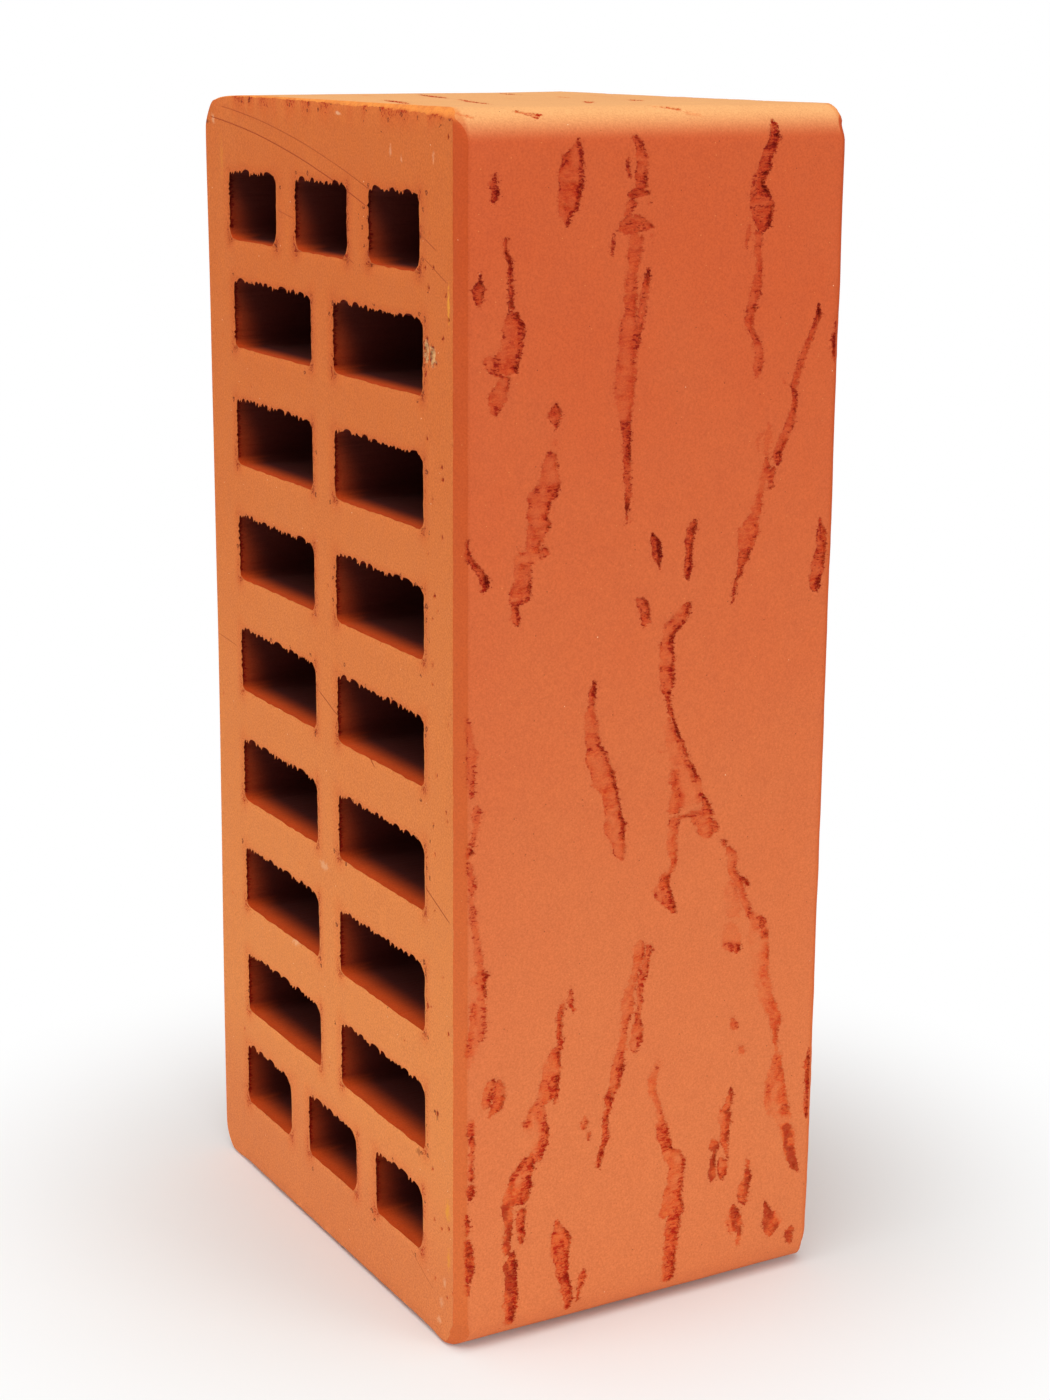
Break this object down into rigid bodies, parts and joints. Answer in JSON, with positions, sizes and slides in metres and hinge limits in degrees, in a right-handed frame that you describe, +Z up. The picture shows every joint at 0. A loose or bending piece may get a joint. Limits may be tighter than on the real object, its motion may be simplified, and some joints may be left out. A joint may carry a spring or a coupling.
{
  "type": "perforated clay facing brick",
  "caption": "Perforated clay facing brick with bark-textured stretcher and headers, rows of cores from bed to bed, standing on end.",
  "frame": {"origin": "centre of the footprint of the header that the brick stands on", "axes": "+Z up along the brick's length, +X from bed face to bed face along the cores, -Y towards the textured stretcher face"},
  "size_m": [0.088, 0.12, 0.25],
  "materials": {
    "fired_clay": "matt, wire-cut and rolled"
  },
  "bodies": {
    "root": {"brick": "fired_clay"}
  },
  "joints": []
}
